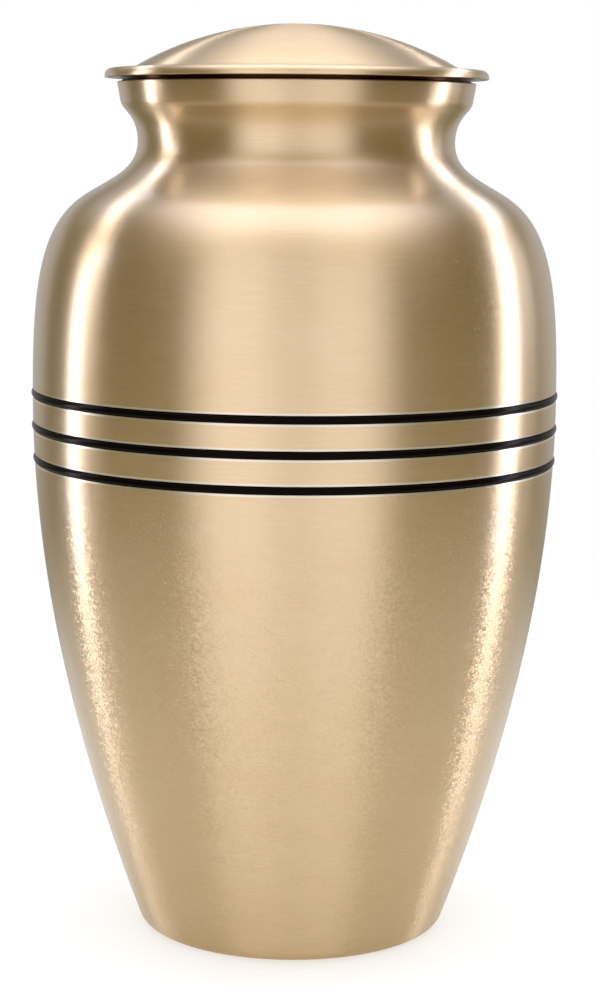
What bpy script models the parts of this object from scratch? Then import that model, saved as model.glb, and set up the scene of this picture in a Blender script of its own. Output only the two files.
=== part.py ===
"""Spun brass cremation urn with a lift-off domed lid and three black inlaid bands.

Metres, +Z up. The origin is the centre of the underside, on the surface that the
urn stands on. Every piece is a profile turned about the Z axis.
"""
import math

import bpy
from mathutils import Vector
from mathutils.geometry import interpolate_bezier

# Underside and foot
FOOT_FLAT_RADIUS = 0.0410
FOOT_CORNER_RADIUS = 0.0046
FOOT_WALL_LEAN = math.radians(20.5)
FOOT_RING_WIDTH = 0.0060
FOOT_RECESS_DEPTH = 0.0012
FOOT_RECESS_SLOPE_WIDTH = 0.0010

# Belly and shoulder
BELLY_RADIUS = 0.0760
BELLY_HEIGHT = 0.1556
BELLY_TO_SHOULDER_TURN = 0.0591
SHOULDER_TURN_SHARE = 0.504
SHOULDER_TURN_LEAN = math.radians(-56.4)

# Neck and collar
NECK_RADIUS = 0.0456
SHOULDER_TURN_TO_NECK = 0.0155
NECK_TO_COLLAR = 0.0101
COLLAR_FLARE = 0.0047
COLLAR_FLARE_LEAN = math.radians(45.0)
COLLAR_HEIGHT = 0.0067
COLLAR_SPREAD = 0.0011
COLLAR_EDGE_RADIUS = 0.0008
COLLAR_THICKNESS = 0.0034

# How full each curve is, as shares of its chord
LOWER_WALL_EASE = 0.33
SHOULDER_FULLNESS = 0.555
SHOULDER_TURN_EASE = 0.25
NECK_EASE = 0.385
FLARE_START_EASE = 0.45
FLARE_END_EASE = 0.33

# Walls
BODY_WALL = 0.0015
BASE_THICKNESS = 0.0015

# Lid
CREVICE_HEIGHT = 0.00105
SEAT_SETBACK = 0.0014
FLANGE_OVERHANG = 0.0036
FLANGE_THICKNESS = 0.0026
FLANGE_EDGE_RADIUS = 0.0007
LEDGE_WIDTH = 0.0076
DOME_RISE = 0.0130
LID_WALL = 0.0018
SPIGOT_WALL = 0.0020
SPIGOT_STOP = 0.0010

# Black bands
BAND_NAMES = ("lower", "middle", "upper")
BAND_WIDTH = 0.0024
BAND_SPACING = 0.0094
TOP_BAND_ABOVE_BELLY = 0.0026
BAND_GROOVE_DEPTH = 0.0007
BAND_EDGE_PROUD = 0.0001
BAND_CREST_PROUD = 0.0004

# Clearance between pieces that rest on or in each other
FIT_GAP = 0.0003

# Facets
TURN_STEPS = 48
MERGE_DISTANCE = 0.00001
SHARP_ANGLE = math.radians(35.0)
FOOT_SEGMENTS = 3
OUTER_SEGMENTS = {"lower_wall": 7, "shoulder": 7, "neck": 5, "flare": 3}
INNER_SEGMENTS = {"lower_wall": 5, "shoulder": 5, "neck": 4, "flare": 3}
EDGE_SEGMENTS = 2
DOME_SEGMENTS = 6
LID_INSIDE_SEGMENTS = 4

# Looks of the two materials
BRASS_COLOUR = (0.73, 0.55, 0.33, 1.0)
BRASS_ROUGHNESS = 0.28
ENAMEL_COLOUR = (0.006, 0.006, 0.007, 1.0)
ENAMEL_ROUGHNESS = 0.25

# Places that follow from the sizes above
SHOULDER_TURN_HEIGHT = BELLY_HEIGHT + BELLY_TO_SHOULDER_TURN
SHOULDER_TURN_RADIUS = NECK_RADIUS + SHOULDER_TURN_SHARE * (BELLY_RADIUS - NECK_RADIUS)
NECK_HEIGHT = SHOULDER_TURN_HEIGHT + SHOULDER_TURN_TO_NECK
COLLAR_LOW_HEIGHT = NECK_HEIGHT + NECK_TO_COLLAR
COLLAR_LOW_RADIUS = NECK_RADIUS + COLLAR_FLARE
COLLAR_TOP_HEIGHT = COLLAR_LOW_HEIGHT + COLLAR_HEIGHT
COLLAR_TOP_RADIUS = COLLAR_LOW_RADIUS + COLLAR_SPREAD
BORE_RADIUS = COLLAR_TOP_RADIUS - COLLAR_THICKNESS
FLOOR_HEIGHT = FOOT_RECESS_DEPTH + BASE_THICKNESS
FLANGE_RADIUS = COLLAR_TOP_RADIUS + FLANGE_OVERHANG
DOME_RADIUS = FLANGE_RADIUS - LEDGE_WIDTH
LID_HEIGHT = COLLAR_TOP_HEIGHT + FIT_GAP


def heading(lean):
    """Direction of an outline that rises while it leans outwards by an angle."""
    return Vector((math.sin(lean), math.cos(lean)))


def arc(centre, radius, start_angle, end_angle, segments):
    """Points of a circular arc, its ends included."""
    sweep = (end_angle - start_angle) / segments
    angles = [start_angle + sweep * step for step in range(segments + 1)]
    return [centre + radius * Vector((math.cos(a), math.sin(a))) for a in angles]


def eased_curve(start, start_lean, start_ease, end, end_lean, end_ease, segments):
    """Points of a Bezier curve past its start, each ease being a share of its chord."""
    chord = (end - start).length
    start_handle = start + heading(start_lean) * chord * start_ease
    end_handle = end - heading(end_lean) * chord * end_ease
    return interpolate_bezier(start, start_handle, end_handle, end, segments + 1)[1:]


def vessel_outline(segments):
    """The outer outline, rising from the flat of the foot to the collar's lower edge."""
    corner = Vector((FOOT_FLAT_RADIUS, FOOT_CORNER_RADIUS))
    points = arc(corner, FOOT_CORNER_RADIUS, -math.pi / 2, -FOOT_WALL_LEAN, FOOT_SEGMENTS)
    belly = Vector((BELLY_RADIUS, BELLY_HEIGHT))
    turn = Vector((SHOULDER_TURN_RADIUS, SHOULDER_TURN_HEIGHT))
    neck = Vector((NECK_RADIUS, NECK_HEIGHT))
    collar = Vector((COLLAR_LOW_RADIUS, COLLAR_LOW_HEIGHT))
    points += eased_curve(points[-1], FOOT_WALL_LEAN, LOWER_WALL_EASE,
                          belly, 0.0, LOWER_WALL_EASE, segments["lower_wall"])
    points += eased_curve(belly, 0.0, SHOULDER_FULLNESS,
                          turn, SHOULDER_TURN_LEAN, SHOULDER_TURN_EASE, segments["shoulder"])
    points += eased_curve(turn, SHOULDER_TURN_LEAN, NECK_EASE,
                          neck, 0.0, NECK_EASE, segments["neck"])
    points += eased_curve(neck, 0.0, FLARE_START_EASE,
                          collar, COLLAR_FLARE_LEAN, FLARE_END_EASE, segments["flare"])
    return points


def offset_inwards(outline, distance):
    """A rising outline moved towards the inside, square to itself at each point."""
    moved = []
    for index, point in enumerate(outline):
        before = outline[max(index - 1, 0)]
        after = outline[min(index + 1, len(outline) - 1)]
        along = (after - before).normalized()
        moved.append(point + distance * Vector((-along.y, along.x)))
    return moved


def crossing(start, end, axis, value):
    """The point of a straight stretch where one of its coordinates has a value."""
    share = (value - start[axis]) / (end[axis] - start[axis])
    return start.lerp(end, share)


def radius_at(outline, height):
    """The radius of a rising outline at a height."""
    for start, end in zip(outline, outline[1:]):
        if start.y <= height <= end.y:
            return crossing(start, end, 1, height).x
    raise ValueError(f"the outline doesn't reach a height of {height:.4f} m")


def cavity_outline():
    """The inside of the wall, rising from the floor to the lower end of the bore."""
    inside = offset_inwards(vessel_outline(INNER_SEGMENTS), BODY_WALL)
    above = next(i for i, point in enumerate(inside) if point.y > FLOOR_HEIGHT)
    floor_edge = crossing(inside[above - 1], inside[above], 1, FLOOR_HEIGHT)
    risen = [floor_edge] + inside[above:]
    flare = len(risen) - INNER_SEGMENTS["flare"]
    for index in range(flare, len(risen)):
        if risen[index].x >= BORE_RADIUS:
            bore_start = crossing(risen[index - 1], risen[index], 0, BORE_RADIUS)
            return risen[:index] + [bore_start]
    return risen + [Vector((BORE_RADIUS, risen[-1].y))]


def band_heights():
    """The middle of each black band, from the lowest up."""
    top = BELLY_HEIGHT + TOP_BAND_ABOVE_BELLY
    return [top - BAND_SPACING * step for step in reversed(range(len(BAND_NAMES)))]


def grooved(outline):
    """The outer outline with a square groove for each black band."""
    points = list(outline)
    for height in band_heights():
        low, high = height - BAND_WIDTH / 2, height + BAND_WIDTH / 2
        low_edge = Vector((radius_at(outline, low), low))
        high_edge = Vector((radius_at(outline, high), high))
        depth = Vector((BAND_GROOVE_DEPTH, 0.0))
        groove = [low_edge, low_edge - depth, high_edge - depth, high_edge]
        below = [point for point in points if point.y < low]
        above = [point for point in points if point.y > high]
        points = below + groove + above
    return points


def collar_rim():
    """The collar's outer side above its lower edge, up to the flat rim."""
    corner = Vector((COLLAR_TOP_RADIUS, COLLAR_TOP_HEIGHT))
    centre = corner - Vector((COLLAR_EDGE_RADIUS, COLLAR_EDGE_RADIUS))
    return arc(centre, COLLAR_EDGE_RADIUS, 0.0, math.pi / 2, EDGE_SEGMENTS)


def body_profile():
    """From the middle of the floor, up the inside, down the outside and under the foot."""
    outside = grooved(vessel_outline(OUTER_SEGMENTS)) + collar_rim()
    ring_inside = FOOT_FLAT_RADIUS - FOOT_RING_WIDTH
    recess_radius = ring_inside - FOOT_RECESS_SLOPE_WIDTH
    profile = [Vector((0.0, FLOOR_HEIGHT))] + cavity_outline()
    profile.append(Vector((BORE_RADIUS, COLLAR_TOP_HEIGHT)))
    profile += reversed(outside)
    profile.append(Vector((ring_inside, 0.0)))
    profile.append(Vector((recess_radius, FOOT_RECESS_DEPTH)))
    profile.append(Vector((0.0, FOOT_RECESS_DEPTH)))
    return profile


def dome(radius, centre_height, edge_radius, segments):
    """A spherical cap's outline from the axis out to its edge."""
    edge_angle = math.acos(edge_radius / radius)
    centre = Vector((0.0, centre_height))
    points = arc(centre, radius, math.pi / 2, edge_angle, segments)
    points[0].x = 0.0
    return points


def lid_profile():
    """From the dome's crown, round the flange and the spigot, to the crown's inside."""
    flange_low = CREVICE_HEIGHT - FIT_GAP
    flange_top = flange_low + FLANGE_THICKNESS
    sphere_radius = (DOME_RADIUS ** 2 + DOME_RISE ** 2) / (2 * DOME_RISE)
    sphere_centre = flange_top + DOME_RISE - sphere_radius
    edge_centre_radius = FLANGE_RADIUS - FLANGE_EDGE_RADIUS
    top_centre = Vector((edge_centre_radius, flange_top - FLANGE_EDGE_RADIUS))
    low_centre = Vector((edge_centre_radius, flange_low + FLANGE_EDGE_RADIUS))
    seat_radius = COLLAR_TOP_RADIUS - SEAT_SETBACK
    spigot_radius = BORE_RADIUS - FIT_GAP
    spigot_end = cavity_outline()[-1].y + SPIGOT_STOP - LID_HEIGHT
    spigot_inside = spigot_radius - SPIGOT_WALL
    profile = dome(sphere_radius, sphere_centre, DOME_RADIUS, DOME_SEGMENTS)
    profile += arc(top_centre, FLANGE_EDGE_RADIUS, math.pi / 2, 0.0, EDGE_SEGMENTS)
    profile += arc(low_centre, FLANGE_EDGE_RADIUS, 0.0, -math.pi / 2, EDGE_SEGMENTS)
    profile.append(Vector((seat_radius, flange_low)))
    profile.append(Vector((seat_radius, 0.0)))
    profile.append(Vector((spigot_radius, 0.0)))
    profile.append(Vector((spigot_radius, spigot_end)))
    profile.append(Vector((spigot_inside, spigot_end)))
    inside = dome(sphere_radius - LID_WALL, sphere_centre, spigot_inside, LID_INSIDE_SEGMENTS)
    return profile + inside[::-1]


def band_profile(height):
    """A band's section about its own middle, with a crest that stands proud."""
    outline = vessel_outline(OUTER_SEGMENTS)
    half_groove = BAND_WIDTH / 2
    half_band = half_groove - FIT_GAP
    low_radius = radius_at(outline, height - half_groove)
    high_radius = radius_at(outline, height + half_groove)
    crest_radius = radius_at(outline, height) + BAND_CREST_PROUD
    seat = BAND_GROOVE_DEPTH - FIT_GAP
    return [
        Vector((high_radius + BAND_EDGE_PROUD, half_band)),
        Vector((crest_radius, 0.0)),
        Vector((low_radius + BAND_EDGE_PROUD, -half_band)),
        Vector((low_radius - seat, -half_band)),
        Vector((high_radius - seat, half_band)),
    ]


def metal_or_enamel(name, colour, metallic, roughness):
    """A plain Principled material."""
    material = bpy.data.materials.new(name)
    material.use_nodes = True
    shader = material.node_tree.nodes["Principled BSDF"]
    shader.inputs["Base Color"].default_value = colour
    shader.inputs["Metallic"].default_value = metallic
    shader.inputs["Roughness"].default_value = roughness
    material.diffuse_color = colour
    return material


def turned(name, profile, is_ring, height, material, collection, parent):
    """Turn a profile about the Z axis into one closed, smooth-shaded piece."""
    vertices = [(point.x, 0.0, point.y) for point in profile]
    edges = [(index, index + 1) for index in range(len(vertices) - 1)]
    if is_ring:
        edges.append((len(vertices) - 1, 0))
    outline = bpy.data.meshes.new(name + "_profile")
    outline.from_pydata(vertices, edges, [])
    piece = bpy.data.objects.new(name, outline)
    collection.objects.link(piece)
    screw = piece.modifiers.new("Turn", "SCREW")
    screw.axis = "Z"
    screw.steps = TURN_STEPS
    screw.render_steps = TURN_STEPS
    screw.use_merge_vertices = True
    screw.merge_threshold = MERGE_DISTANCE
    depsgraph = bpy.context.evaluated_depsgraph_get()
    solid = bpy.data.meshes.new_from_object(piece.evaluated_get(depsgraph))
    solid.name = name
    solid.shade_smooth()
    solid.set_sharp_from_angle(angle=SHARP_ANGLE)
    solid.materials.append(material)
    piece.modifiers.clear()
    piece.data = solid
    bpy.data.meshes.remove(outline)
    piece.location.z = height
    piece.parent = parent
    return piece


def clear_scene():
    """Remove the objects that a new file starts with."""
    for existing in list(bpy.data.objects):
        bpy.data.objects.remove(existing, do_unlink=True)


def build_urn():
    """Make the body, the lid and the bands, each about the urn's own axis."""
    collection = bpy.data.collections.new("Cremation urn")
    bpy.context.scene.collection.children.link(collection)
    origin = bpy.data.objects.new("urn_origin", None)
    collection.objects.link(origin)
    body_brass = metal_or_enamel("Spun brass body", BRASS_COLOUR, 1.0, BRASS_ROUGHNESS)
    lid_brass = metal_or_enamel("Spun brass lid", BRASS_COLOUR, 1.0, BRASS_ROUGHNESS)
    turned("urn_body", body_profile(), False, 0.0, body_brass, collection, origin)
    turned("lid", lid_profile(), False, LID_HEIGHT, lid_brass, collection, origin)
    for place, height in zip(BAND_NAMES, band_heights()):
        enamel = metal_or_enamel(f"Black enamel, {place}", ENAMEL_COLOUR, 0.0, ENAMEL_ROUGHNESS)
        name = f"black_band_{place}"
        turned(name, band_profile(height), True, height, enamel, collection, origin)


clear_scene()
build_urn()
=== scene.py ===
"""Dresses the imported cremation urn: spun brass body and lid, and black enamel bands."""
import math

import bpy
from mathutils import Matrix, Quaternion, Vector
from mathutils.geometry import interpolate_bezier


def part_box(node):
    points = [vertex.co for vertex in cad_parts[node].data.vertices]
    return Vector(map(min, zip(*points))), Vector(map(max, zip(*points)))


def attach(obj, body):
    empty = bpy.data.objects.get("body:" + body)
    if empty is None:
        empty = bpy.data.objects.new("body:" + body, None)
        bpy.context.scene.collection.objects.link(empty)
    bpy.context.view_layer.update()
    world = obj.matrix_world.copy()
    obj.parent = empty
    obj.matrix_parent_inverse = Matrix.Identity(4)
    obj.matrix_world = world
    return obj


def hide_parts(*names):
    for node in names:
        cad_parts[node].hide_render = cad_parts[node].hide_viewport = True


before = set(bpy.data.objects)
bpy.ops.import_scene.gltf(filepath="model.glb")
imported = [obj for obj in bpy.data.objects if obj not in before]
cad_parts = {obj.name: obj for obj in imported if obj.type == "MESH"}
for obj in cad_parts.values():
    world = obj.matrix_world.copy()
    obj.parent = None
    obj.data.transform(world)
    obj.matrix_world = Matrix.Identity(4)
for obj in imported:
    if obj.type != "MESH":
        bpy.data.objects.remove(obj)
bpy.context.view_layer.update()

bl_info = {
    "name": "Spun Brass Urn",
    "version": (1, 0, 0),
    "blender": (4, 5, 0),
    "location": "View3D > Sidebar > Urn",
    "description": "Turns the brass body and lid and the enamel bands, and sets the studio",
    "category": "Object",
}

BODY_LOW, BODY_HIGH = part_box("urn_body")
LID_LOW, LID_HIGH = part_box("lid")
BAND_NODES = ("black_band_lower", "black_band_middle", "black_band_upper")
BAND_LOW, BAND_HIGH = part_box(BAND_NODES[-1])

# Points along each stretch of a section, close enough for smooth reflections
CORNER_POINTS = 12
LOWER_WALL_POINTS = 90
SHOULDER_POINTS = 60
NECK_POINTS = 34
FLARE_POINTS = 18
DOME_POINTS = 60
FILLET_POINTS = 6
BEAD_POINTS = 14
# Share of the outside's points that the inside needs
INSIDE_SHARE = 0.4
# Handles of the soft bends, as shares of their chords
BEND_EASE = 0.4
FILLET_EASE = 0.33
# Under 1 makes the bead's back flatter than a half sine
BEAD_FULLNESS = 0.8
SHARP_ANGLE = math.radians(28)
WELD_DISTANCE = 0.000001
# Where the lathe's guide circle runs; the turned piece doesn't depend on it
GUIDE_RADIUS = 0.1
# How far apart two finishes lie where they meet at an edge
FINISH_STEP = 0.00003

# Soft patches in which the lacquer has warmed: their length round the axis and their width
PATCH_RUN = 0.016
PATCH_WIDTH = 0.010
# The satin grain leans most at the foot, and less and less between these heights
GRAIN_FROM = 0.06
GRAIN_TO = 0.16
UPPER_TILT_SHARE = 0.12
# The middle span of a noise, which the spin lines stretch to their full contrast
LINE_SPAN = (0.3, 0.7)
LINE_SHADES = (0.965, 1.03)
LINE_ROUGHNESS = 0.02
# A quarter of a turn lays the blur across the spin lines
QUARTER_TURN = 0.25
# Orange peel of the baked enamel: its grain, its height and its swing of roughness
PEEL_GRAIN = 0.0012
PEEL_HEIGHT = 0.000006
PEEL_ROUGHNESS = 0.06
# Typical of a baked enamel
ENAMEL_IOR = 1.5
# Far under the usual 0.5, because the photo's bands show next to no gloss
ENAMEL_GLOSS = 0.05

BRASS_NAME = "Spun brushed brass"
LATHE_NAME = "Turn on the lathe"

# Linear colours of the light: lamps a little cool, and a warm room in reflections
LAMP_WHITE = (0.95, 1.0, 1.25)
ROOM_WARM = (1.0, 0.88, 0.52)
FLOOR_ROUGHNESS = 0.9
FLOOR_FADE_START = 0.08
FLOOR_COVER = 0.60
LAMP_AIM = Vector((0.0, 0.0, 0.15))
# Name, azimuth, elevation, distance, size, radiance, feather across and up, own turn
LAMPS = (
    ("front_left_box", -22.7, -2, 1.5, (1.85, 2.6), 1.16, (0.42, 0.2), 0),
    ("front_right_box", 19.8, -2, 1.5, (1.85, 2.6), 1.03, (0.42, 0.2), 0),
    ("top_soft_box", 0, 88, 1.5, (3.3, 2.2), 2.45, (0.37, 0.3), 0),
    ("top_back_box", 180, 46, 1.5, (3.4, 1.4), 0.36, (0.25, 0.3), 0),
    ("back_soft_box", 178, 4, 1.9, (4.6, 1.4), 0.28, (0.15, 0.3), 0),
    ("left_strip_box", -105.2, 3, 1.2, (0.25, 1.1), 4.8, (0.3, 0.05), -17),
    ("right_strip_box", 105.5, 3, 1.2, (0.30, 1.1), 4.6, (0.3, 0.05), -11),
    ("right_edge_box", 121, 12, 1.3, (0.5, 0.9), 0.8, (0.4, 0.3), -6),
    ("left_upper_box", -136, 39, 1.4, (1.0, 0.15), 3.6, (0.25, 0.05), -8),
    ("right_upper_box", 138, 32.5, 1.4, (1.0, 0.15), 3.6, (0.25, 0.05), 6),
)


def linear(hex_colour):
    """The linear colour of an sRGB hex value."""
    parts = [int(hex_colour[i:i + 2], 16) / 255 for i in (1, 3, 5)]
    return tuple(p / 12.92 if p <= 0.04045 else ((p + 0.055) / 1.055) ** 2.4 for p in parts)


def length(name, description, default):
    """A length property in metres."""
    return bpy.props.FloatProperty(name=name, description=description, default=default,
                                   precision=5, unit="LENGTH", subtype="DISTANCE")


def angle(name, description, degrees):
    """An angle property, given in degrees."""
    return bpy.props.FloatProperty(name=name, description=description,
                                   default=math.radians(degrees), subtype="ANGLE")


def share(name, description, default):
    """A property between 0 and 1."""
    return bpy.props.FloatProperty(name=name, description=description, default=default,
                                   min=0.0, max=1.0, subtype="FACTOR")


def colour(name, description, hex_colour):
    """A colour property with an sRGB hex default."""
    return bpy.props.FloatVectorProperty(name=name, description=description, size=3,
                                         default=linear(hex_colour), subtype="COLOR",
                                         min=0.0, max=1.0)


class UrnBodySizes(bpy.types.PropertyGroup):
    """The spun body's outline"""
    foot_radius: length("Foot radius", "Flat of the underside", 0.0410)
    foot_corner: length("Foot corner", "Radius of the corner under the wall", 0.0046)
    foot_lean: angle("Foot lean", "Outward lean of the wall above the corner", 20.5)
    foot_ring: length("Foot ring width", "Flat ring that the urn stands on", 0.0060)
    recess_depth: length("Recess depth", "Recess inside the foot ring", 0.0012)
    recess_slope: length("Recess slope width", "Slope between ring and recess", 0.0010)
    belly_radius: length("Belly radius", "Widest radius", BODY_HIGH.x)
    belly_height: length("Belly height", "Height of the widest place", 0.1556)
    turn_share: share("Shoulder turn share", "Turn's place from neck to belly", 0.504)
    turn_height: length("Shoulder turn height", "Height of the shoulder's turn", 0.2147)
    turn_lean: angle("Shoulder turn lean", "Inward lean at the turn", -56.4)
    neck_radius: length("Neck radius", "Narrowest radius", 0.0456)
    neck_height: length("Neck height", "Height of the narrowest place", 0.2302)
    collar_height: length("Collar height", "Height of the collar's band", 0.0067)
    collar_low: length("Collar foot radius", "Radius at the collar's lower edge", 0.0503)
    collar_lean: angle("Collar flare lean", "Lean of the flare under the collar", 45.0)
    collar_radius: length("Collar radius", "Radius at the collar's rim", 0.0514)
    collar_edge: length("Collar edge", "Rounding of the rim's outer edge", 0.0004)
    collar_ease: length("Collar ease", "Reach of the soft bend under the collar", 0.0015)
    bore_radius: length("Bore radius", "Inside of the collar", 0.0480)
    lower_ease: share("Lower wall ease", "Fullness of the lower wall", 0.33)
    shoulder_fullness: share("Shoulder fullness", "Fullness above the belly", 0.555)
    turn_ease: share("Shoulder turn ease", "Fullness before the turn", 0.25)
    neck_ease: share("Neck ease", "Fullness of the neck's hollow", 0.385)
    flare_start: share("Flare start", "Fullness above the neck", 0.45)
    flare_end: share("Flare end", "Fullness under the collar", 0.33)
    wall: length("Wall", "Thickness of the spun wall", 0.0015)
    floor_height: length("Floor height", "Top of the floor inside", 0.0027)
    groove_width: length("Groove width", "Groove that takes a band", 0.0023)
    groove_depth: length("Groove depth", "Depth of a band's groove", 0.0007)
    groove_lip: length("Groove lip", "Bright cut along each groove's edge", 0.00058)
    lip_drop: length("Lip drop", "How far the bright cut falls to the groove", 0.00014)
    steps: bpy.props.IntProperty(name="Steps round", description="Faces round the axis",
                                 default=192, min=24)


class UrnLidSizes(bpy.types.PropertyGroup):
    """The domed lid's outline"""
    flange_radius: length("Flange radius", "Outer radius of the lid", LID_HIGH.x)
    flange_low: length("Flange underside", "Height of the flange's underside", 0.24805)
    flange_thickness: length("Flange thickness", "Height of the flange's edge", 0.0026)
    flange_round: length("Flange rounding", "Radius of the edge's upper corner", 0.0020)
    flange_edge: length("Flange lower edge", "Radius of the edge's lower corner", 0.00025)
    crown_height: length("Crown height", "Top of the dome", LID_HIGH.z)
    dome_radius: length("Dome radius", "Foot of the dome on the flange", 0.0474)
    dome_fillet: length("Dome fillet", "Hollow between dome and flange", 0.0012)
    wall: length("Lid wall", "Thickness of the dome", 0.0018)
    seat_radius: length("Seat radius", "Ring that rests on the collar", 0.0500)
    seat_height: length("Seat height", "Height of that ring's underside", 0.2473)
    spigot_radius: length("Spigot radius", "Ring that drops into the bore", 0.0477)
    spigot_wall: length("Spigot wall", "Thickness of the spigot", 0.0020)
    spigot_low: length("Spigot end", "Height of the spigot's lower end", LID_LOW.z)
    steps: bpy.props.IntProperty(name="Steps round", description="Faces round the axis",
                                 default=192, min=24)


class UrnBandSizes(bpy.types.PropertyGroup):
    """The section of one enamel band"""
    bead_width: length("Bead width", "Width of the raised bead", BAND_HIGH.z - BAND_LOW.z)
    crest: length("Crest", "How far the bead stands proud of the brass", 0.0004)
    trough: length("Trough", "Depth of the hollow on each side of the bead", 0.0003)
    clearance: length("Clearance", "Gap between enamel and brass", 0.00002)


class UrnFinish(bpy.types.PropertyGroup):
    """Colours and finish of brass and enamel"""
    brass: colour("Brass", "Pale lacquered brass", "#E7CB9F")
    brass_deep: colour("Deep brass", "Brass where the lacquer has warmed", "#E3C291")
    brass_inside: colour("Inside brass", "Unpolished brass inside", "#8E7148")
    # Painted highlight: the bevel along each groove's edge is coloured pale to stand for its
    # bright line
    brass_cut_highlight: colour("Cut brass", "Pale painted highlight on the bevel at a groove's lip", "#F3E6CC")
    # Painted shade: this dark colour stands for the shadow in the crevice under the lid's
    # flange, and also for enamel left in the grooves
    residue_and_shade: colour("Residue", "Enamel left in the grooves, and painted shade in the crevice", "#4A2812")
    roughness: share("Roughness", "Blur of the brushed brass", 0.335)
    brushing: share("Brushing", "How one-sided the blur is", 1.0)
    lacquer_roughness: share("Lacquer roughness", "Blur of the clear lacquer", 0.24)
    spin_pitch: length("Spin line pitch", "Distance between spin lines", 0.0004)
    spin_run: length("Spin line run", "Length of a spin line", 0.007)
    grain: length("Grain", "Size of one facet of the satin grain", 0.00065)
    facet_tilt: share("Facet tilt", "How far the facets lean, near the foot", 0.115)
    enamel: colour("Enamel", "Black baked enamel", "#0A0504")
    enamel_tint: colour("Enamel tint", "Warm tint of the enamel's gloss", "#FFCEAA")
    enamel_roughness: share("Enamel roughness", "Blur of the enamel", 0.18)


class UrnStudio(bpy.types.PropertyGroup):
    """The camera's place, the floor and the lights"""
    camera_distance: length("Camera distance", "From the urn's axis", 0.7131)
    camera_side: length("Camera side", "To the right of the axis", 0.00096)
    camera_height: length("Camera height", "Above the floor", 0.2307)
    camera_pitch: angle("Camera pitch", "Downward tilt", 8.186)
    camera_roll: angle("Camera roll", "Turn about the view", 0.448)
    camera_lens: bpy.props.FloatProperty(name="Lens", description="Focal length on 36 mm",
                                         default=89.55, unit="CAMERA")
    floor_colour: colour("Floor", "Plain pale floor", "#FAF9EE")
    floor_size: length("Floor size", "Side of the floor, which fades out at its edge", 1.3)
    floor_glow: share("Floor glow", "Light of its own that keeps the floor pale", 0.30)
    ambient: share("Ambient", "Strength of the room in reflections", 0.23)


def heading(lean):
    """Direction of an outline that rises while it leans outwards by an angle."""
    return Vector((math.sin(lean), math.cos(lean)))


def arc(centre, radius, start, end, points):
    """Points of a circular arc, its ends included."""
    angles = [start + (end - start) * step / points for step in range(points + 1)]
    return [centre + radius * Vector((math.cos(a), math.sin(a))) for a in angles]


def eased_curve(start, start_lean, start_ease, end, end_lean, end_ease, points):
    """Points of a Bezier curve past its start, each ease being a share of its chord."""
    chord = (end - start).length
    start_handle = start + heading(start_lean) * chord * start_ease
    end_handle = end - heading(end_lean) * chord * end_ease
    return interpolate_bezier(start, start_handle, end_handle, end, points + 1)[1:]


def body_outline(sizes, density):
    """The outer outline, rising from the foot's flat to the collar's lower edge."""
    corner = Vector((sizes.foot_radius, sizes.foot_corner))
    turn_radius = sizes.neck_radius + sizes.turn_share * (sizes.belly_radius - sizes.neck_radius)
    belly = Vector((sizes.belly_radius, sizes.belly_height))
    turn = Vector((turn_radius, sizes.turn_height))
    neck = Vector((sizes.neck_radius, sizes.neck_height))
    collar = Vector((sizes.collar_low, BODY_HIGH.z - sizes.collar_height))
    points = arc(corner, sizes.foot_corner, -math.pi / 2, -sizes.foot_lean, CORNER_POINTS)
    points += eased_curve(points[-1], sizes.foot_lean, sizes.lower_ease, belly, 0.0,
                          sizes.lower_ease, round(LOWER_WALL_POINTS * density))
    points += eased_curve(belly, 0.0, sizes.shoulder_fullness, turn, sizes.turn_lean,
                          sizes.turn_ease, round(SHOULDER_POINTS * density))
    points += eased_curve(turn, sizes.turn_lean, sizes.neck_ease, neck, 0.0,
                          sizes.neck_ease, round(NECK_POINTS * density))
    points += eased_curve(neck, 0.0, sizes.flare_start, collar, sizes.collar_lean,
                          sizes.flare_end, round(FLARE_POINTS * density))
    return points


def softened_end(outline, after, reach):
    """The outline with its last corner, on the way to a point after it, bent softly."""
    corner = outline[-1]
    kept = [point for point in outline if (corner - point).length > reach]
    arriving = kept[-1] - kept[-2]
    leaving = after - corner
    end = corner + leaving.normalized() * reach
    return kept + eased_curve(kept[-1], math.atan2(arriving.x, arriving.y), BEND_EASE, end,
                              math.atan2(leaving.x, leaving.y), BEND_EASE, FILLET_POINTS)


def offset_inwards(outline, distance):
    """A rising outline moved towards the inside, square to itself at each point."""
    moved = []
    for index, point in enumerate(outline):
        before = outline[max(index - 1, 0)]
        after = outline[min(index + 1, len(outline) - 1)]
        along = (after - before).normalized()
        moved.append(point + distance * Vector((-along.y, along.x)))
    return moved


def radius_at(outline, height):
    """The radius of a rising outline at a height."""
    for start, end in zip(outline, outline[1:]):
        if start.y <= height <= end.y:
            return start.lerp(end, (height - start.y) / (end.y - start.y)).x
    raise ValueError(f"the outline doesn't reach a height of {height:.4f} m")


def tagged(finish, points):
    """Points of a section, each with the name of its finish."""
    return [(point, finish) for point in points]


def band_heights():
    """The middle of each band's node, from the lowest up."""
    boxes = [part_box(node) for node in BAND_NODES]
    return [(low.z + high.z) / 2 for low, high in boxes]


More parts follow.
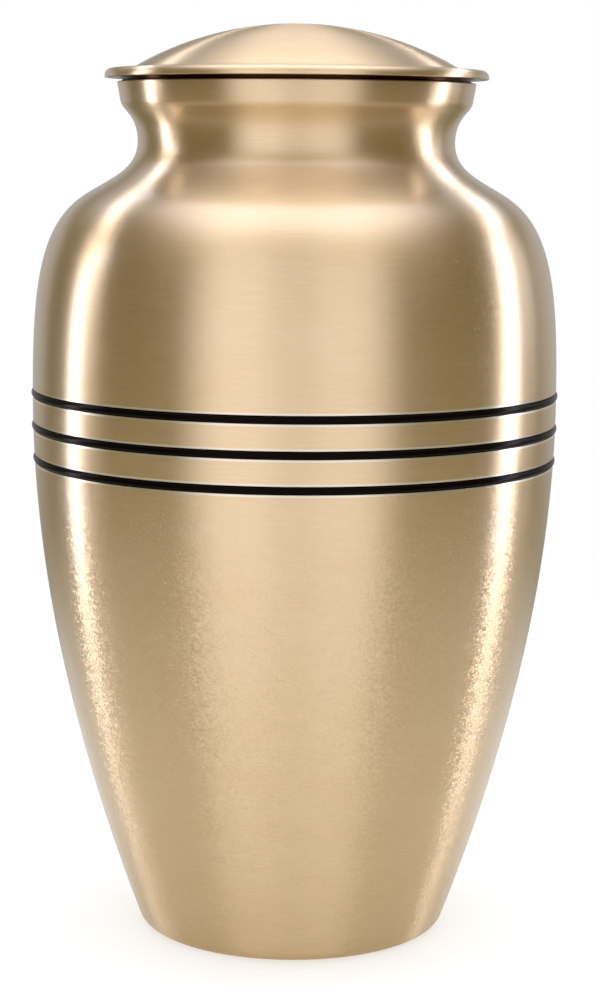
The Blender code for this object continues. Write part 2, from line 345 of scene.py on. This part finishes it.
def grooved(outline, sizes):
    """The outline with a groove for each band, each lip cut to a bevel with a painted highlight.
    """
    points = tagged("outside", outline)
    half, lip = sizes.groove_width / 2, sizes.groove_lip
    for height in band_heights():
        low, high = height - half, height + half
        low_lip, high_lip = low - lip, high + lip
        low_radius, high_radius = radius_at(outline, low), radius_at(outline, high)
        below = [pair for pair in points if pair[0].y < low_lip - FINISH_STEP]
        above = [pair for pair in points if pair[0].y > high_lip + FINISH_STEP]
        low_edge, high_edge = low_lip - FINISH_STEP, high_lip + FINISH_STEP
        points = below + tagged("outside", [Vector((radius_at(outline, low_edge), low_edge))])
        # The bevels are tagged cut, and get the pale painted highlight
        points += tagged("cut", [Vector((radius_at(outline, low_lip), low_lip)),
                                 Vector((low_radius - sizes.lip_drop, low))])
        # The groove's floor gets the dark colour: enamel left in the groove, and painted shade
        # in the gap beside the band
        points += tagged("residue_and_shade", [Vector((low_radius - sizes.groove_depth, low)),
                                     Vector((high_radius - sizes.groove_depth, high))])
        points += tagged("cut", [Vector((high_radius - sizes.lip_drop, high)),
                                 Vector((radius_at(outline, high_lip), high_lip))])
        points += tagged("outside", [Vector((radius_at(outline, high_edge), high_edge))])
        points += above
    return points


def inside_outline(sizes):
    """The inside of the wall, rising from the floor to the bore."""
    moved = offset_inwards(body_outline(sizes, INSIDE_SHARE), sizes.wall)
    rim = BODY_HIGH.z - sizes.collar_height
    risen = [point for point in moved if sizes.floor_height < point.y]
    kept = [p for p in risen if p.y < sizes.neck_height or p.x < sizes.bore_radius]
    first = Vector((radius_at(moved, sizes.floor_height), sizes.floor_height))
    return [first] + kept + [Vector((sizes.bore_radius, rim))]


def body_section(sizes):
    """From the middle of the floor, up the inside, down the outside and under the foot."""
    rim_corner = Vector((sizes.collar_radius, BODY_HIGH.z))
    edge_centre = rim_corner - Vector((sizes.collar_edge, sizes.collar_edge))
    rim = arc(edge_centre, sizes.collar_edge, 0.0, math.pi / 2, FILLET_POINTS)
    outline = softened_end(body_outline(sizes, 1.0), rim[0], sizes.collar_ease)
    outside = grooved(outline, sizes) + tagged("outside", rim)
    ring_inside = sizes.foot_radius - sizes.foot_ring
    inside = [Vector((0.0, sizes.floor_height))] + inside_outline(sizes)
    # The collar's top, under the lid's flange, gets the dark colour as painted shade of the
    # crevice
    top = [Vector((sizes.bore_radius, BODY_HIGH.z)),
           Vector((edge_centre.x - FINISH_STEP, BODY_HIGH.z))]
    under = [
        Vector((ring_inside, 0.0)),
        Vector((ring_inside - sizes.recess_slope, sizes.recess_depth)),
        Vector((0.0, sizes.recess_depth)),
    ]
    return (tagged("inside", inside) + tagged("residue_and_shade", top) + outside[::-1]
            + tagged("inside", under))


def dome(radius, centre_height, edge_radius, points):
    """A spherical cap's outline from the axis out to its edge."""
    edge_angle = math.acos(edge_radius / radius)
    cap = arc(Vector((0.0, centre_height)), radius, math.pi / 2, edge_angle, points)
    cap[0].x = 0.0
    return cap


def lid_section(sizes):
    """From the crown, over the flange and round the spigot, to the crown's inside."""
    top = sizes.flange_low + sizes.flange_thickness
    rise = sizes.crown_height - top
    radius = (sizes.dome_radius ** 2 + rise ** 2) / (2 * rise)
    centre = sizes.crown_height - radius
    upper = Vector((sizes.flange_radius - sizes.flange_round, top - sizes.flange_round))
    lower = Vector((sizes.flange_radius, sizes.flange_low))
    lower += Vector((-sizes.flange_edge, sizes.flange_edge))
    spigot_inside = sizes.spigot_radius - sizes.spigot_wall
    cap = dome(radius, centre, sizes.dome_radius - sizes.dome_fillet, DOME_POINTS)
    ledge = Vector((sizes.dome_radius + sizes.dome_fillet, top))
    slope = (cap[-1] - cap[-2]).normalized()
    lean = math.atan2(slope.x, slope.y)
    fillet = eased_curve(cap[-1], lean, FILLET_EASE, ledge, math.pi / 2, FILLET_EASE,
                         FILLET_POINTS)
    outside = cap + fillet
    outside += arc(upper, sizes.flange_round, math.pi / 2, 0.0, FILLET_POINTS)
    outside += arc(lower, sizes.flange_edge, 0.0, -math.pi / 2, FILLET_POINTS)
    crevice = [
        Vector((sizes.seat_radius, sizes.flange_low)),
        Vector((sizes.seat_radius, sizes.seat_height)),
        Vector((sizes.spigot_radius, sizes.seat_height)),
    ]
    inside = [
        Vector((sizes.spigot_radius, sizes.spigot_low)),
        Vector((spigot_inside, sizes.spigot_low)),
    ]
    inside += dome(radius - sizes.wall, centre, spigot_inside, CORNER_POINTS)[::-1]
    # The flange's underside and the seat get the dark colour as painted shade of the crevice
    lip = Vector((lower.x - FINISH_STEP, sizes.flange_low))
    return (tagged("outside", outside) + tagged("residue_and_shade", [lip] + crevice)
            + tagged("inside", inside))


def band_section(body, band, outline, height):
    """One enamel band: it fills its groove, with a bead between two hollows."""
    half = body.groove_width / 2 - band.clearance
    bead = band.bead_width / 2
    middle = radius_at(outline, height)
    face = middle - body.lip_drop
    back = middle - body.groove_depth + band.clearance
    rise = band.crest + band.trough
    section = [Vector((face, half))]
    for step in range(BEAD_POINTS + 1):
        swing = math.pi * step / BEAD_POINTS
        bulge = math.sin(swing) ** BEAD_FULLNESS
        section.append(Vector((middle - band.trough + rise * bulge, bead * math.cos(swing))))
    section += [Vector((face, -half)), Vector((back, -half)), Vector((back, half))]
    return tagged("outside", [point + Vector((0.0, height)) for point in section])


def add_node(tree, kind, inputs=None, **settings):
    """Add a node with its settings, and give its inputs values or links."""
    node = tree.nodes.new(kind)
    for name, value in settings.items():
        setattr(node, name, value)
    for key, value in (inputs or {}).items():
        if isinstance(value, bpy.types.NodeSocket):
            tree.links.new(value, node.inputs[key])
        else:
            node.inputs[key].default_value = value
    return node


def lathe_tree():
    """Geometry nodes that turn a flat section about Z: its X is radius, its Y height."""
    tree = bpy.data.node_groups.new(LATHE_NAME, "GeometryNodeTree")
    face = tree.interface
    face.new_socket("Section", in_out="INPUT", socket_type="NodeSocketGeometry")
    face.new_socket("Steps round", in_out="INPUT", socket_type="NodeSocketInt")
    face.new_socket("Guide radius", in_out="INPUT", socket_type="NodeSocketFloat")
    face.new_socket("Finish", in_out="INPUT", socket_type="NodeSocketMaterial")
    face.new_socket("Piece", in_out="OUTPUT", socket_type="NodeSocketGeometry")
    given = add_node(tree, "NodeGroupInput").outputs
    inwards = add_node(tree, "ShaderNodeMath", {0: 0.0, 1: given["Guide radius"]},
                       operation="SUBTRACT")
    shift = add_node(tree, "ShaderNodeCombineXYZ", {"X": inwards.outputs[0]})
    moved = add_node(tree, "GeometryNodeTransform",
                     {"Geometry": given["Section"], "Translation": shift.outputs[0],
                      "Scale": (1.0, -1.0, 1.0)})
    profile = add_node(tree, "GeometryNodeMeshToCurve", {"Mesh": moved.outputs[0]})
    circle = add_node(tree, "GeometryNodeCurvePrimitiveCircle",
                      {"Resolution": given["Steps round"], "Radius": given["Guide radius"]})
    swept = add_node(tree, "GeometryNodeCurveToMesh",
                     {"Curve": circle.outputs["Curve"], "Profile Curve": profile.outputs[0]})
    welded = add_node(tree, "GeometryNodeMergeByDistance",
                      {"Geometry": swept.outputs[0], "Distance": WELD_DISTANCE})
    realized = add_node(tree, "GeometryNodeRealizeInstances", {"Geometry": welded.outputs[0]})
    finished = add_node(tree, "GeometryNodeSetMaterial",
                        {"Geometry": realized.outputs[0], "Material": given["Finish"]})
    add_node(tree, "NodeGroupOutput", {"Piece": finished.outputs[0]})
    return tree


def socket_id(tree, name):
    """The identifier of a tree's input."""
    return next(item.identifier for item in tree.interface.items_tree
                if item.name == name and item.in_out == "INPUT")


def turn_section(name, section, closed, steps, material):
    """Turn a section into a piece, with the run along it kept for the finish."""
    points = [point for point, finish in section]
    edges = [(index, index + 1) for index in range(len(points) - 1)]
    if closed:
        edges.append((len(points) - 1, 0))
    flat = bpy.data.meshes.new(name + "_section")
    flat.from_pydata([(point.x, point.y, 0.0) for point in points], edges, [])
    runs = [0.0]
    for start, end in zip(points, points[1:]):
        runs.append(runs[-1] + (end - start).length)
    flat.attributes.new("run", "FLOAT", "POINT").data.foreach_set("value", runs)
    # The cut mask marks the bevels' painted highlight
    # The last mask marks the dark colour: enamel left in the grooves, and painted shade in the
    # crevice
    for kind in ("inside", "cut", "residue_and_shade"):
        shares = [1.0 if finish == kind else 0.0 for point, finish in section]
        flat.attributes.new(kind, "FLOAT", "POINT").data.foreach_set("value", shares)
    holder = bpy.data.objects.new(name + "_section", flat)
    bpy.context.scene.collection.objects.link(holder)
    tree = bpy.data.node_groups.get(LATHE_NAME) or lathe_tree()
    lathe = holder.modifiers.new("Lathe", "NODES")
    lathe.node_group = tree
    lathe[socket_id(tree, "Steps round")] = steps
    lathe[socket_id(tree, "Guide radius")] = GUIDE_RADIUS
    lathe[socket_id(tree, "Finish")] = material
    depsgraph = bpy.context.evaluated_depsgraph_get()
    mesh = bpy.data.meshes.new_from_object(holder.evaluated_get(depsgraph))
    bpy.data.objects.remove(holder, do_unlink=True)
    bpy.data.meshes.remove(flat)
    mesh.name = name
    mesh.shade_smooth()
    mesh.set_sharp_from_angle(angle=SHARP_ANGLE)
    piece = bpy.data.objects.new(name, mesh)
    bpy.context.scene.collection.objects.link(piece)
    return piece


def new_material(name):
    """A material with an empty tree but for its output and a Principled shader."""
    material = bpy.data.materials.new(name)
    material.use_nodes = True
    tree = material.node_tree
    tree.nodes.clear()
    output = add_node(tree, "ShaderNodeOutputMaterial")
    shader = add_node(tree, "ShaderNodeBsdfPrincipled")
    tree.links.new(shader.outputs[0], output.inputs["Surface"])
    return material, tree, shader


def lathe_noise(tree, laid, around, across, detail):
    """Noise whose grains are so long round the axis and so wide along the section."""
    scale = (1 / around, 1 / around, 1 / across)
    scaled = add_node(tree, "ShaderNodeVectorMath", {0: laid, 1: scale}, operation="MULTIPLY")
    noise = add_node(tree, "ShaderNodeTexNoise",
                     {"Vector": scaled.outputs[0], "Scale": 1.0, "Detail": detail})
    return noise.outputs["Fac"]


def satin_facets(tree, place, size):
    """Small flat facets, each leaning its own way, in heights of one facet's size."""
    scaled = add_node(tree, "ShaderNodeVectorMath", {0: place, "Scale": 1 / size},
                      operation="SCALE").outputs[0]
    cell = add_node(tree, "ShaderNodeTexVoronoi", {"Vector": scaled, "Scale": 1.0}).outputs
    off = add_node(tree, "ShaderNodeVectorMath", {0: scaled, 1: cell["Position"]},
                   operation="SUBTRACT").outputs[0]
    lean = add_node(tree, "ShaderNodeVectorMath", {0: cell["Color"], 1: (0.5, 0.5, 0.5)},
                    operation="SUBTRACT").outputs[0]
    return add_node(tree, "ShaderNodeVectorMath", {0: off, 1: lean},
                    operation="DOT_PRODUCT").outputs["Value"]


def spun_brass(finish):
    """Lacquered brass sheet, spun, then brushed as it turned.

    Fine lines run round the axis, so a light is drawn out into a streak along the
    section and stays narrow round the axis. A satin grain of small facets, which lean
    more towards the foot, breaks the streak's edges. A brushing grit of about 180 to 240
    leaves marks 0.06 to 0.08 mm wide, which is a typical value and not measured here.
    That is too fine to show, so lines are drawn 0.4 mm apart and facets 0.65 mm wide,
    as coarse as they need to be seen.
    """
    material, tree, shader = new_material(BRASS_NAME)
    place = add_node(tree, "ShaderNodeTexCoord").outputs["Object"]
    split = add_node(tree, "ShaderNodeSeparateXYZ", {0: place}).outputs
    run = add_node(tree, "ShaderNodeAttribute", attribute_name="run").outputs["Fac"]
    laid = add_node(tree, "ShaderNodeCombineXYZ",
                    {"X": split["X"], "Y": split["Y"], "Z": run}).outputs[0]
    lines = lathe_noise(tree, laid, finish.spin_run, finish.spin_pitch, 1.0)
    patches = lathe_noise(tree, laid, PATCH_RUN, PATCH_WIDTH, 2.0)
    up_the_wall = add_node(tree, "ShaderNodeMapRange",
                           {"Value": split["Z"], "From Min": GRAIN_FROM, "From Max": GRAIN_TO},
                           interpolation_type="SMOOTHSTEP").outputs[0]

    tone = add_node(tree, "ShaderNodeMix",
                    {"Factor": patches, 6: (*finish.brass, 1.0), 7: (*finish.brass_deep, 1.0)},
                    data_type="RGBA").outputs[2]
    glint = add_node(tree, "ShaderNodeMapRange",
                     {"Value": lines, "From Min": LINE_SPAN[0], "From Max": LINE_SPAN[1],
                      "To Min": LINE_SHADES[0], "To Max": LINE_SHADES[1]}).outputs[0]
    tone = add_node(tree, "ShaderNodeVectorMath", {0: tone, "Scale": glint},
                    operation="SCALE").outputs[0]
    # The cut bevels get a pale painted highlight
    # The last colour is painted shade in the crevice, and enamel left in the grooves
    for kind, shade in (("cut", finish.brass_cut_highlight), ("inside", finish.brass_inside),
                        ("residue_and_shade", finish.residue_and_shade)):
        covered = add_node(tree, "ShaderNodeAttribute", attribute_name=kind).outputs["Fac"]
        tone = add_node(tree, "ShaderNodeMix", {"Factor": covered, 6: tone, 7: (*shade, 1.0)},
                        data_type="RGBA").outputs[2]
    tree.links.new(tone, shader.inputs["Base Color"])

    rough = add_node(tree, "ShaderNodeMapRange",
                     {"Value": lines, "From Min": LINE_SPAN[0], "From Max": LINE_SPAN[1],
                      "To Min": finish.roughness - LINE_ROUGHNESS,
                      "To Max": finish.roughness + LINE_ROUGHNESS})
    tree.links.new(rough.outputs[0], shader.inputs["Roughness"])
    # The loop ends on the residue and painted shade, which is dull: the lacquer lies everywhere
    # else
    lacquer = add_node(tree, "ShaderNodeMath", {0: 1.0, 1: covered}, operation="SUBTRACT")
    tree.links.new(lacquer.outputs[0], shader.inputs["Coat Weight"])
    lean = add_node(tree, "ShaderNodeMapRange",
                    {"Value": up_the_wall, "To Min": finish.facet_tilt,
                     "To Max": finish.facet_tilt * UPPER_TILT_SHARE}).outputs[0]
    relief = add_node(tree, "ShaderNodeMath", {0: satin_facets(tree, place, finish.grain),
                                               1: lean}, operation="MULTIPLY").outputs[0]
    bump = add_node(tree, "ShaderNodeBump",
                    {"Strength": 1.0, "Distance": finish.grain, "Height": relief})
    tree.links.new(bump.outputs[0], shader.inputs["Normal"])
    back = add_node(tree, "ShaderNodeMath", {0: 0.0, 1: split["Y"]}, operation="SUBTRACT")
    round_axis = add_node(tree, "ShaderNodeCombineXYZ",
                          {"X": back.outputs[0], "Y": split["X"]}).outputs[0]
    tree.links.new(round_axis, shader.inputs["Tangent"])
    shader.inputs["Metallic"].default_value = 1.0
    shader.inputs["Anisotropic"].default_value = finish.brushing
    shader.inputs["Anisotropic Rotation"].default_value = QUARTER_TURN
    shader.inputs["Coat Roughness"].default_value = finish.lacquer_roughness
    return material


def shared_brass(finish):
    """The one brass that body and lid have in common."""
    return bpy.data.materials.get(BRASS_NAME) or spun_brass(finish)


def black_enamel(finish):
    """Black baked enamel in a turned groove: glossy, with a slight orange peel."""
    material, tree, shader = new_material("Black baked enamel")
    place = add_node(tree, "ShaderNodeTexCoord").outputs["Object"]
    peel = add_node(tree, "ShaderNodeTexNoise", {"Vector": place, "Scale": 1 / PEEL_GRAIN,
                                                 "Detail": 1.0}).outputs["Fac"]
    rough = add_node(tree, "ShaderNodeMapRange",
                     {"Value": peel, "To Min": finish.enamel_roughness - PEEL_ROUGHNESS,
                      "To Max": finish.enamel_roughness + PEEL_ROUGHNESS})
    tree.links.new(rough.outputs[0], shader.inputs["Roughness"])
    bump = add_node(tree, "ShaderNodeBump", {"Strength": 1.0, "Distance": PEEL_HEIGHT,
                                             "Height": peel})
    tree.links.new(bump.outputs[0], shader.inputs["Normal"])
    shader.inputs["Base Color"].default_value = (*finish.enamel, 1.0)
    shader.inputs["IOR"].default_value = ENAMEL_IOR
    shader.inputs["Specular IOR Level"].default_value = ENAMEL_GLOSS
    shader.inputs["Specular Tint"].default_value = (*finish.enamel_tint, 1.0)
    return material


def dress(piece, slot, *nodes):
    """Let a piece stand for its nodes, in their place on the one body."""
    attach(piece, "root")
    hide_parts(*nodes)


def feathered(tree, across, feather):
    """Full in the middle, and falling smoothly to nothing over a share at each side."""
    off = add_node(tree, "ShaderNodeMath", {0: across, 1: 0.5}, operation="SUBTRACT")
    away = add_node(tree, "ShaderNodeMath", {0: off.outputs[0]}, operation="ABSOLUTE")
    return add_node(tree, "ShaderNodeMapRange",
                    {"Value": away.outputs[0], "From Min": 0.5 - feather, "From Max": 0.5,
                     "To Min": 1.0, "To Max": 0.0},
                    interpolation_type="SMOOTHSTEP").outputs[0]


def soft_box(name, azimuth, elevation, distance, size, radiance, feather, roll):
    """A soft light that faces the urn; azimuth 0 is behind the camera, 90 on its right."""
    turn, rise = math.radians(azimuth), math.radians(elevation)
    out = Vector((math.sin(turn) * math.cos(rise), -math.cos(turn) * math.cos(rise),
                  math.sin(rise)))
    light = bpy.data.lights.new(name, "AREA")
    light.shape = "RECTANGLE"
    light.size, light.size_y = size
    light.energy = radiance * math.pi * size[0] * size[1]
    light.color = LAMP_WHITE
    light.use_nodes = True
    tree = light.node_tree
    tree.nodes.clear()
    spot = add_node(tree, "ShaderNodeNewGeometry").outputs["Parametric"]
    across = add_node(tree, "ShaderNodeSeparateXYZ", {0: spot}).outputs
    glow = add_node(tree, "ShaderNodeMath", {0: feathered(tree, across["X"], feather[0]),
                                             1: feathered(tree, across["Y"], feather[1])},
                    operation="MULTIPLY")
    emission = add_node(tree, "ShaderNodeEmission", {"Strength": glow.outputs[0]})
    add_node(tree, "ShaderNodeOutputLight", {"Surface": emission.outputs[0]})
    lamp = bpy.data.objects.new(name, light)
    lamp.location = LAMP_AIM + out * distance
    lamp.rotation_mode = "QUATERNION"
    own_turn = Quaternion((0.0, 0.0, 1.0), math.radians(roll))
    lamp.rotation_quaternion = out.to_track_quat("Z", "Y") @ own_turn
    lamp.visible_camera = False
    bpy.context.scene.collection.objects.link(lamp)
    return lamp


def pale_room(studio):
    """A white surround for the eye, and a dim warm one for light and reflections."""
    world = bpy.data.worlds.new("Studio room")
    world.use_nodes = True
    tree = world.node_tree
    tree.nodes.clear()
    seen = add_node(tree, "ShaderNodeLightPath").outputs["Is Camera Ray"]
    warm = add_node(tree, "ShaderNodeBackground",
                    {"Color": (*ROOM_WARM, 1.0), "Strength": studio.ambient})
    white = add_node(tree, "ShaderNodeBackground",
                     {"Color": (1.0, 1.0, 1.0, 1.0), "Strength": 1.0})
    mixed = add_node(tree, "ShaderNodeMixShader",
                     {0: seen, 1: warm.outputs[0], 2: white.outputs[0]})
    add_node(tree, "ShaderNodeOutputWorld", {"Surface": mixed.outputs[0]})
    bpy.context.scene.world = world


def pale_floor(studio):
    """A plain matt floor under the urn, that fades into the pale room further out."""
    half = studio.floor_size / 2
    mesh = bpy.data.meshes.new("studio_floor")
    corners = [(-half, -half, 0.0), (half, -half, 0.0), (half, half, 0.0), (-half, half, 0.0)]
    mesh.from_pydata(corners, [], [(0, 1, 2, 3)])
    floor = bpy.data.objects.new("studio_floor", mesh)
    bpy.context.scene.collection.objects.link(floor)
    material, tree, shader = new_material("Matt pale floor")
    shader.inputs["Base Color"].default_value = (*studio.floor_colour, 1.0)
    shader.inputs["Roughness"].default_value = FLOOR_ROUGHNESS
    shader.inputs["Emission Color"].default_value = (1.0, 1.0, 1.0, 1.0)
    shader.inputs["Emission Strength"].default_value = studio.floor_glow
    place = add_node(tree, "ShaderNodeTexCoord").outputs["Object"]
    out = add_node(tree, "ShaderNodeVectorMath", {0: place}, operation="LENGTH").outputs["Value"]
    fade = add_node(tree, "ShaderNodeMapRange",
                    {"Value": out, "From Min": FLOOR_FADE_START, "From Max": half,
                     "To Min": FLOOR_COVER, "To Max": 0.0},
                    interpolation_type="SMOOTHERSTEP").outputs[0]
    tree.links.new(fade, shader.inputs["Alpha"])
    mesh.materials.append(material)


def studio_camera(studio):
    """The camera, at the height and tilt that the bands' ellipses give."""
    data = bpy.data.cameras.new("studio_camera")
    data.lens = studio.camera_lens
    data.sensor_width = 36.0
    camera = bpy.data.objects.new("studio_camera", data)
    camera.location = (studio.camera_side, -studio.camera_distance, studio.camera_height)
    tilt = Quaternion((1.0, 0.0, 0.0), math.pi / 2 - studio.camera_pitch)
    camera.rotation_mode = "QUATERNION"
    camera.rotation_quaternion = tilt @ Quaternion((0.0, 0.0, 1.0), studio.camera_roll)
    bpy.context.scene.collection.objects.link(camera)
    bpy.context.scene.camera = camera


class URN_OT_body(bpy.types.Operator):
    """Turn the hollow brass body with its grooves and foot"""
    bl_idname = "urn.body"
    bl_label = "Turn body"

    def execute(self, context):
        scene = context.scene
        section = body_section(scene.urn_body)
        brass = shared_brass(scene.urn_finish)
        piece = turn_section("spun_body", section, False, scene.urn_body.steps, brass)
        dress(piece, "body_brass", "urn_body")
        return {"FINISHED"}


class URN_OT_lid(bpy.types.Operator):
    """Turn the domed lid with its flange and spigot"""
    bl_idname = "urn.lid"
    bl_label = "Turn lid"

    def execute(self, context):
        scene = context.scene
        section = lid_section(scene.urn_lid)
        brass = shared_brass(scene.urn_finish)
        piece = turn_section("domed_lid", section, False, scene.urn_lid.steps, brass)
        dress(piece, "lid_brass", "lid")
        return {"FINISHED"}


class URN_OT_bands(bpy.types.Operator):
    """Lay a black enamel band in each groove"""
    bl_idname = "urn.bands"
    bl_label = "Lay bands"

    def execute(self, context):
        scene = context.scene
        enamel = black_enamel(scene.urn_finish)
        outline = body_outline(scene.urn_body, 1.0)
        for node, height in zip(BAND_NODES, band_heights()):
            section = band_section(scene.urn_body, scene.urn_band, outline, height)
            piece = turn_section(node.replace("black", "enamel"), section, True,
                                 scene.urn_body.steps, enamel)
            dress(piece, "band_enamel", node)
        return {"FINISHED"}


class URN_OT_studio(bpy.types.Operator):
    """Set the pale floor, the soft lights and the camera"""
    bl_idname = "urn.studio"
    bl_label = "Set studio"

    def execute(self, context):
        studio = context.scene.urn_studio
        context.scene.view_settings.view_transform = "Standard"
        pale_room(studio)
        pale_floor(studio)
        for lamp in LAMPS:
            soft_box(*lamp)
        studio_camera(studio)
        return {"FINISHED"}


class URN_PT_panel(bpy.types.Panel):
    """Lists the urn's steps in the order of making"""
    bl_label = "Urn"
    bl_idname = "URN_PT_panel"
    bl_space_type = "VIEW_3D"
    bl_region_type = "UI"
    bl_category = "Urn"

    def draw(self, context):
        for step in STEPS:
            self.layout.operator(step.bl_idname)


GROUPS = {"urn_body": UrnBodySizes, "urn_lid": UrnLidSizes, "urn_band": UrnBandSizes,
          "urn_finish": UrnFinish, "urn_studio": UrnStudio}
STEPS = (URN_OT_body, URN_OT_lid, URN_OT_bands, URN_OT_studio)


def register():
    """Register the property groups, the operators and the panel."""
    for name, group in GROUPS.items():
        bpy.utils.register_class(group)
        setattr(bpy.types.Scene, name, bpy.props.PointerProperty(type=group))
    for item in (*STEPS, URN_PT_panel):
        bpy.utils.register_class(item)


def unregister():
    """Take everything that register added away again."""
    for item in (URN_PT_panel, *reversed(STEPS)):
        bpy.utils.unregister_class(item)
    for name, group in GROUPS.items():
        delattr(bpy.types.Scene, name)
        bpy.utils.unregister_class(group)


def main():
    """Make every piece and the studio."""
    register()
    bpy.ops.urn.body()
    bpy.ops.urn.lid()
    bpy.ops.urn.bands()
    bpy.ops.urn.studio()


if __name__ == "__main__":
    main()
